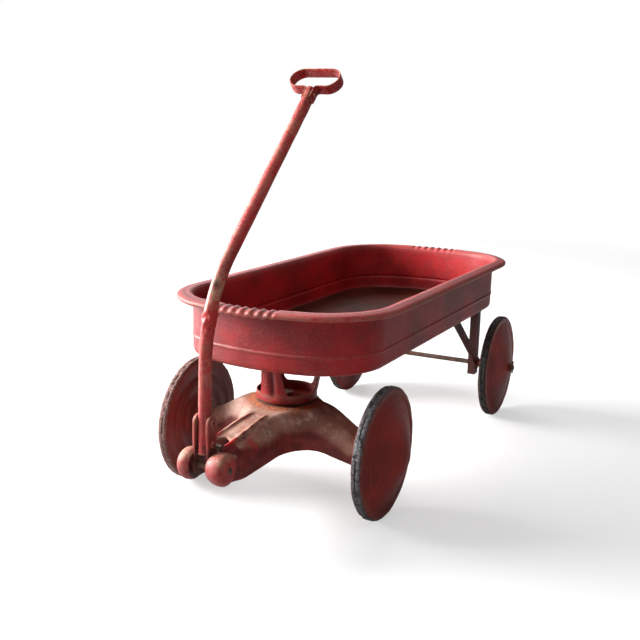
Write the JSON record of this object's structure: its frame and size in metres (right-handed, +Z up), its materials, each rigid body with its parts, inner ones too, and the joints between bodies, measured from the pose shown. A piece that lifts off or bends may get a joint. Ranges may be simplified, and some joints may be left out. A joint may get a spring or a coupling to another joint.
{
  "type": "pull wagon",
  "caption": "Child's pull wagon: pressed steel tub with a rolled rim on four disc wheels, steered by a front yoke with a bent tube handle.",
  "frame": {"origin": "on the ground, at the middle of the wagon's length and width", "axes": "+Z up, -Y towards the front where the handle is, +X towards the wagon's side that is on the right when seen from the front"},
  "size_m": [0.415, 0.9376, 0.6629],
  "materials": {
    "tub_paint": "worn dusty gloss enamel over pressed steel",
    "front_paint": "worn dusty gloss enamel",
    "handle_paint": "worn enamel rubbed through to tan primer",
    "yoke_metal": "paint worn away to tan primer with rust",
    "wheel_paint": "dark dull enamel with dust in the rings",
    "gear_paint": "dark dirty enamel with rust",
    "bare_steel": "dull rusty steel",
    "tyre_rubber": "perished grey rubber"
  },
  "bodies": {
    "chassis": {"tub": "tub_paint", "front_bolster": "front_paint", "bolster_rivets": "front_paint", "thrust_washer": "bare_steel", "king_pin": "bare_steel", "king_pin_nut": "bare_steel", "rear_axle": "bare_steel", "rear_bracket_left": "gear_paint", "rear_bracket_right": "gear_paint", "rear_brace_left": "gear_paint", "rear_brace_right": "gear_paint", "rear_rivets": "gear_paint", "rear_spacers": "bare_steel", "rear_axle_cap": "bare_steel", "rear_right_washer": "bare_steel", "rear_right_nail": "bare_steel"},
    "yoke": {"yoke_shell": "yoke_metal", "knuckle_left": "front_paint", "knuckle_right": "front_paint", "turntable_plate": "yoke_metal", "front_axle": "bare_steel", "axle_tube": "bare_steel", "front_axle_caps": "bare_steel", "front_washers": "bare_steel", "hinge_pin": "bare_steel", "slot_stop": "bare_steel"},
    "handle": {"handle_tube": "handle_paint", "handle_strap_left": "handle_paint", "handle_strap_right": "handle_paint", "strap_rivets": "handle_paint", "grip_loop": "handle_paint", "grip_rivet": "handle_paint"},
    "front_left_wheel": {"front_left_outer_disc": "wheel_paint", "front_left_inner_disc": "wheel_paint", "front_left_tyre": "tyre_rubber", "front_left_hub": "bare_steel"},
    "front_right_wheel": {"front_right_outer_disc": "wheel_paint", "front_right_inner_disc": "wheel_paint", "front_right_tyre": "tyre_rubber", "front_right_hub": "bare_steel"},
    "rear_left_wheel": {"rear_left_outer_disc": "wheel_paint", "rear_left_inner_disc": "wheel_paint", "rear_left_tyre": "tyre_rubber", "rear_left_hub": "bare_steel"},
    "rear_right_wheel": {"rear_right_outer_disc": "wheel_paint", "rear_right_inner_disc": "wheel_paint", "rear_right_tyre": "tyre_rubber", "rear_right_hub": "bare_steel"}
  },
  "joints": [
    {"name": "steer", "type": "hinge", "parent": "chassis", "child": "yoke", "pos_m": [0, -0.2178, 0.16], "axis": [0, 0, 1], "range_deg": [-75, 75]},
    {"name": "handle_tilt", "type": "hinge", "parent": "yoke", "child": "handle", "pos_m": [0, -0.4458, 0.1255], "axis": [1, 0, 0], "range_deg": [0, 105]},
    {"name": "front_left_spin", "type": "hinge", "parent": "yoke", "child": "front_left_wheel", "pos_m": [-0.1665, -0.2178, 0.1016], "axis": [1, 0, 0], "continuous": true},
    {"name": "front_right_spin", "type": "hinge", "parent": "yoke", "child": "front_right_wheel", "pos_m": [0.1665, -0.2178, 0.1016], "axis": [1, 0, 0], "continuous": true},
    {"name": "rear_left_spin", "type": "hinge", "parent": "chassis", "child": "rear_left_wheel", "pos_m": [-0.1665, 0.3672, 0.1016], "axis": [1, 0, 0], "continuous": true},
    {"name": "rear_right_spin", "type": "hinge", "parent": "chassis", "child": "rear_right_wheel", "pos_m": [0.1665, 0.3672, 0.1016], "axis": [1, 0, 0], "continuous": true}
  ]
}
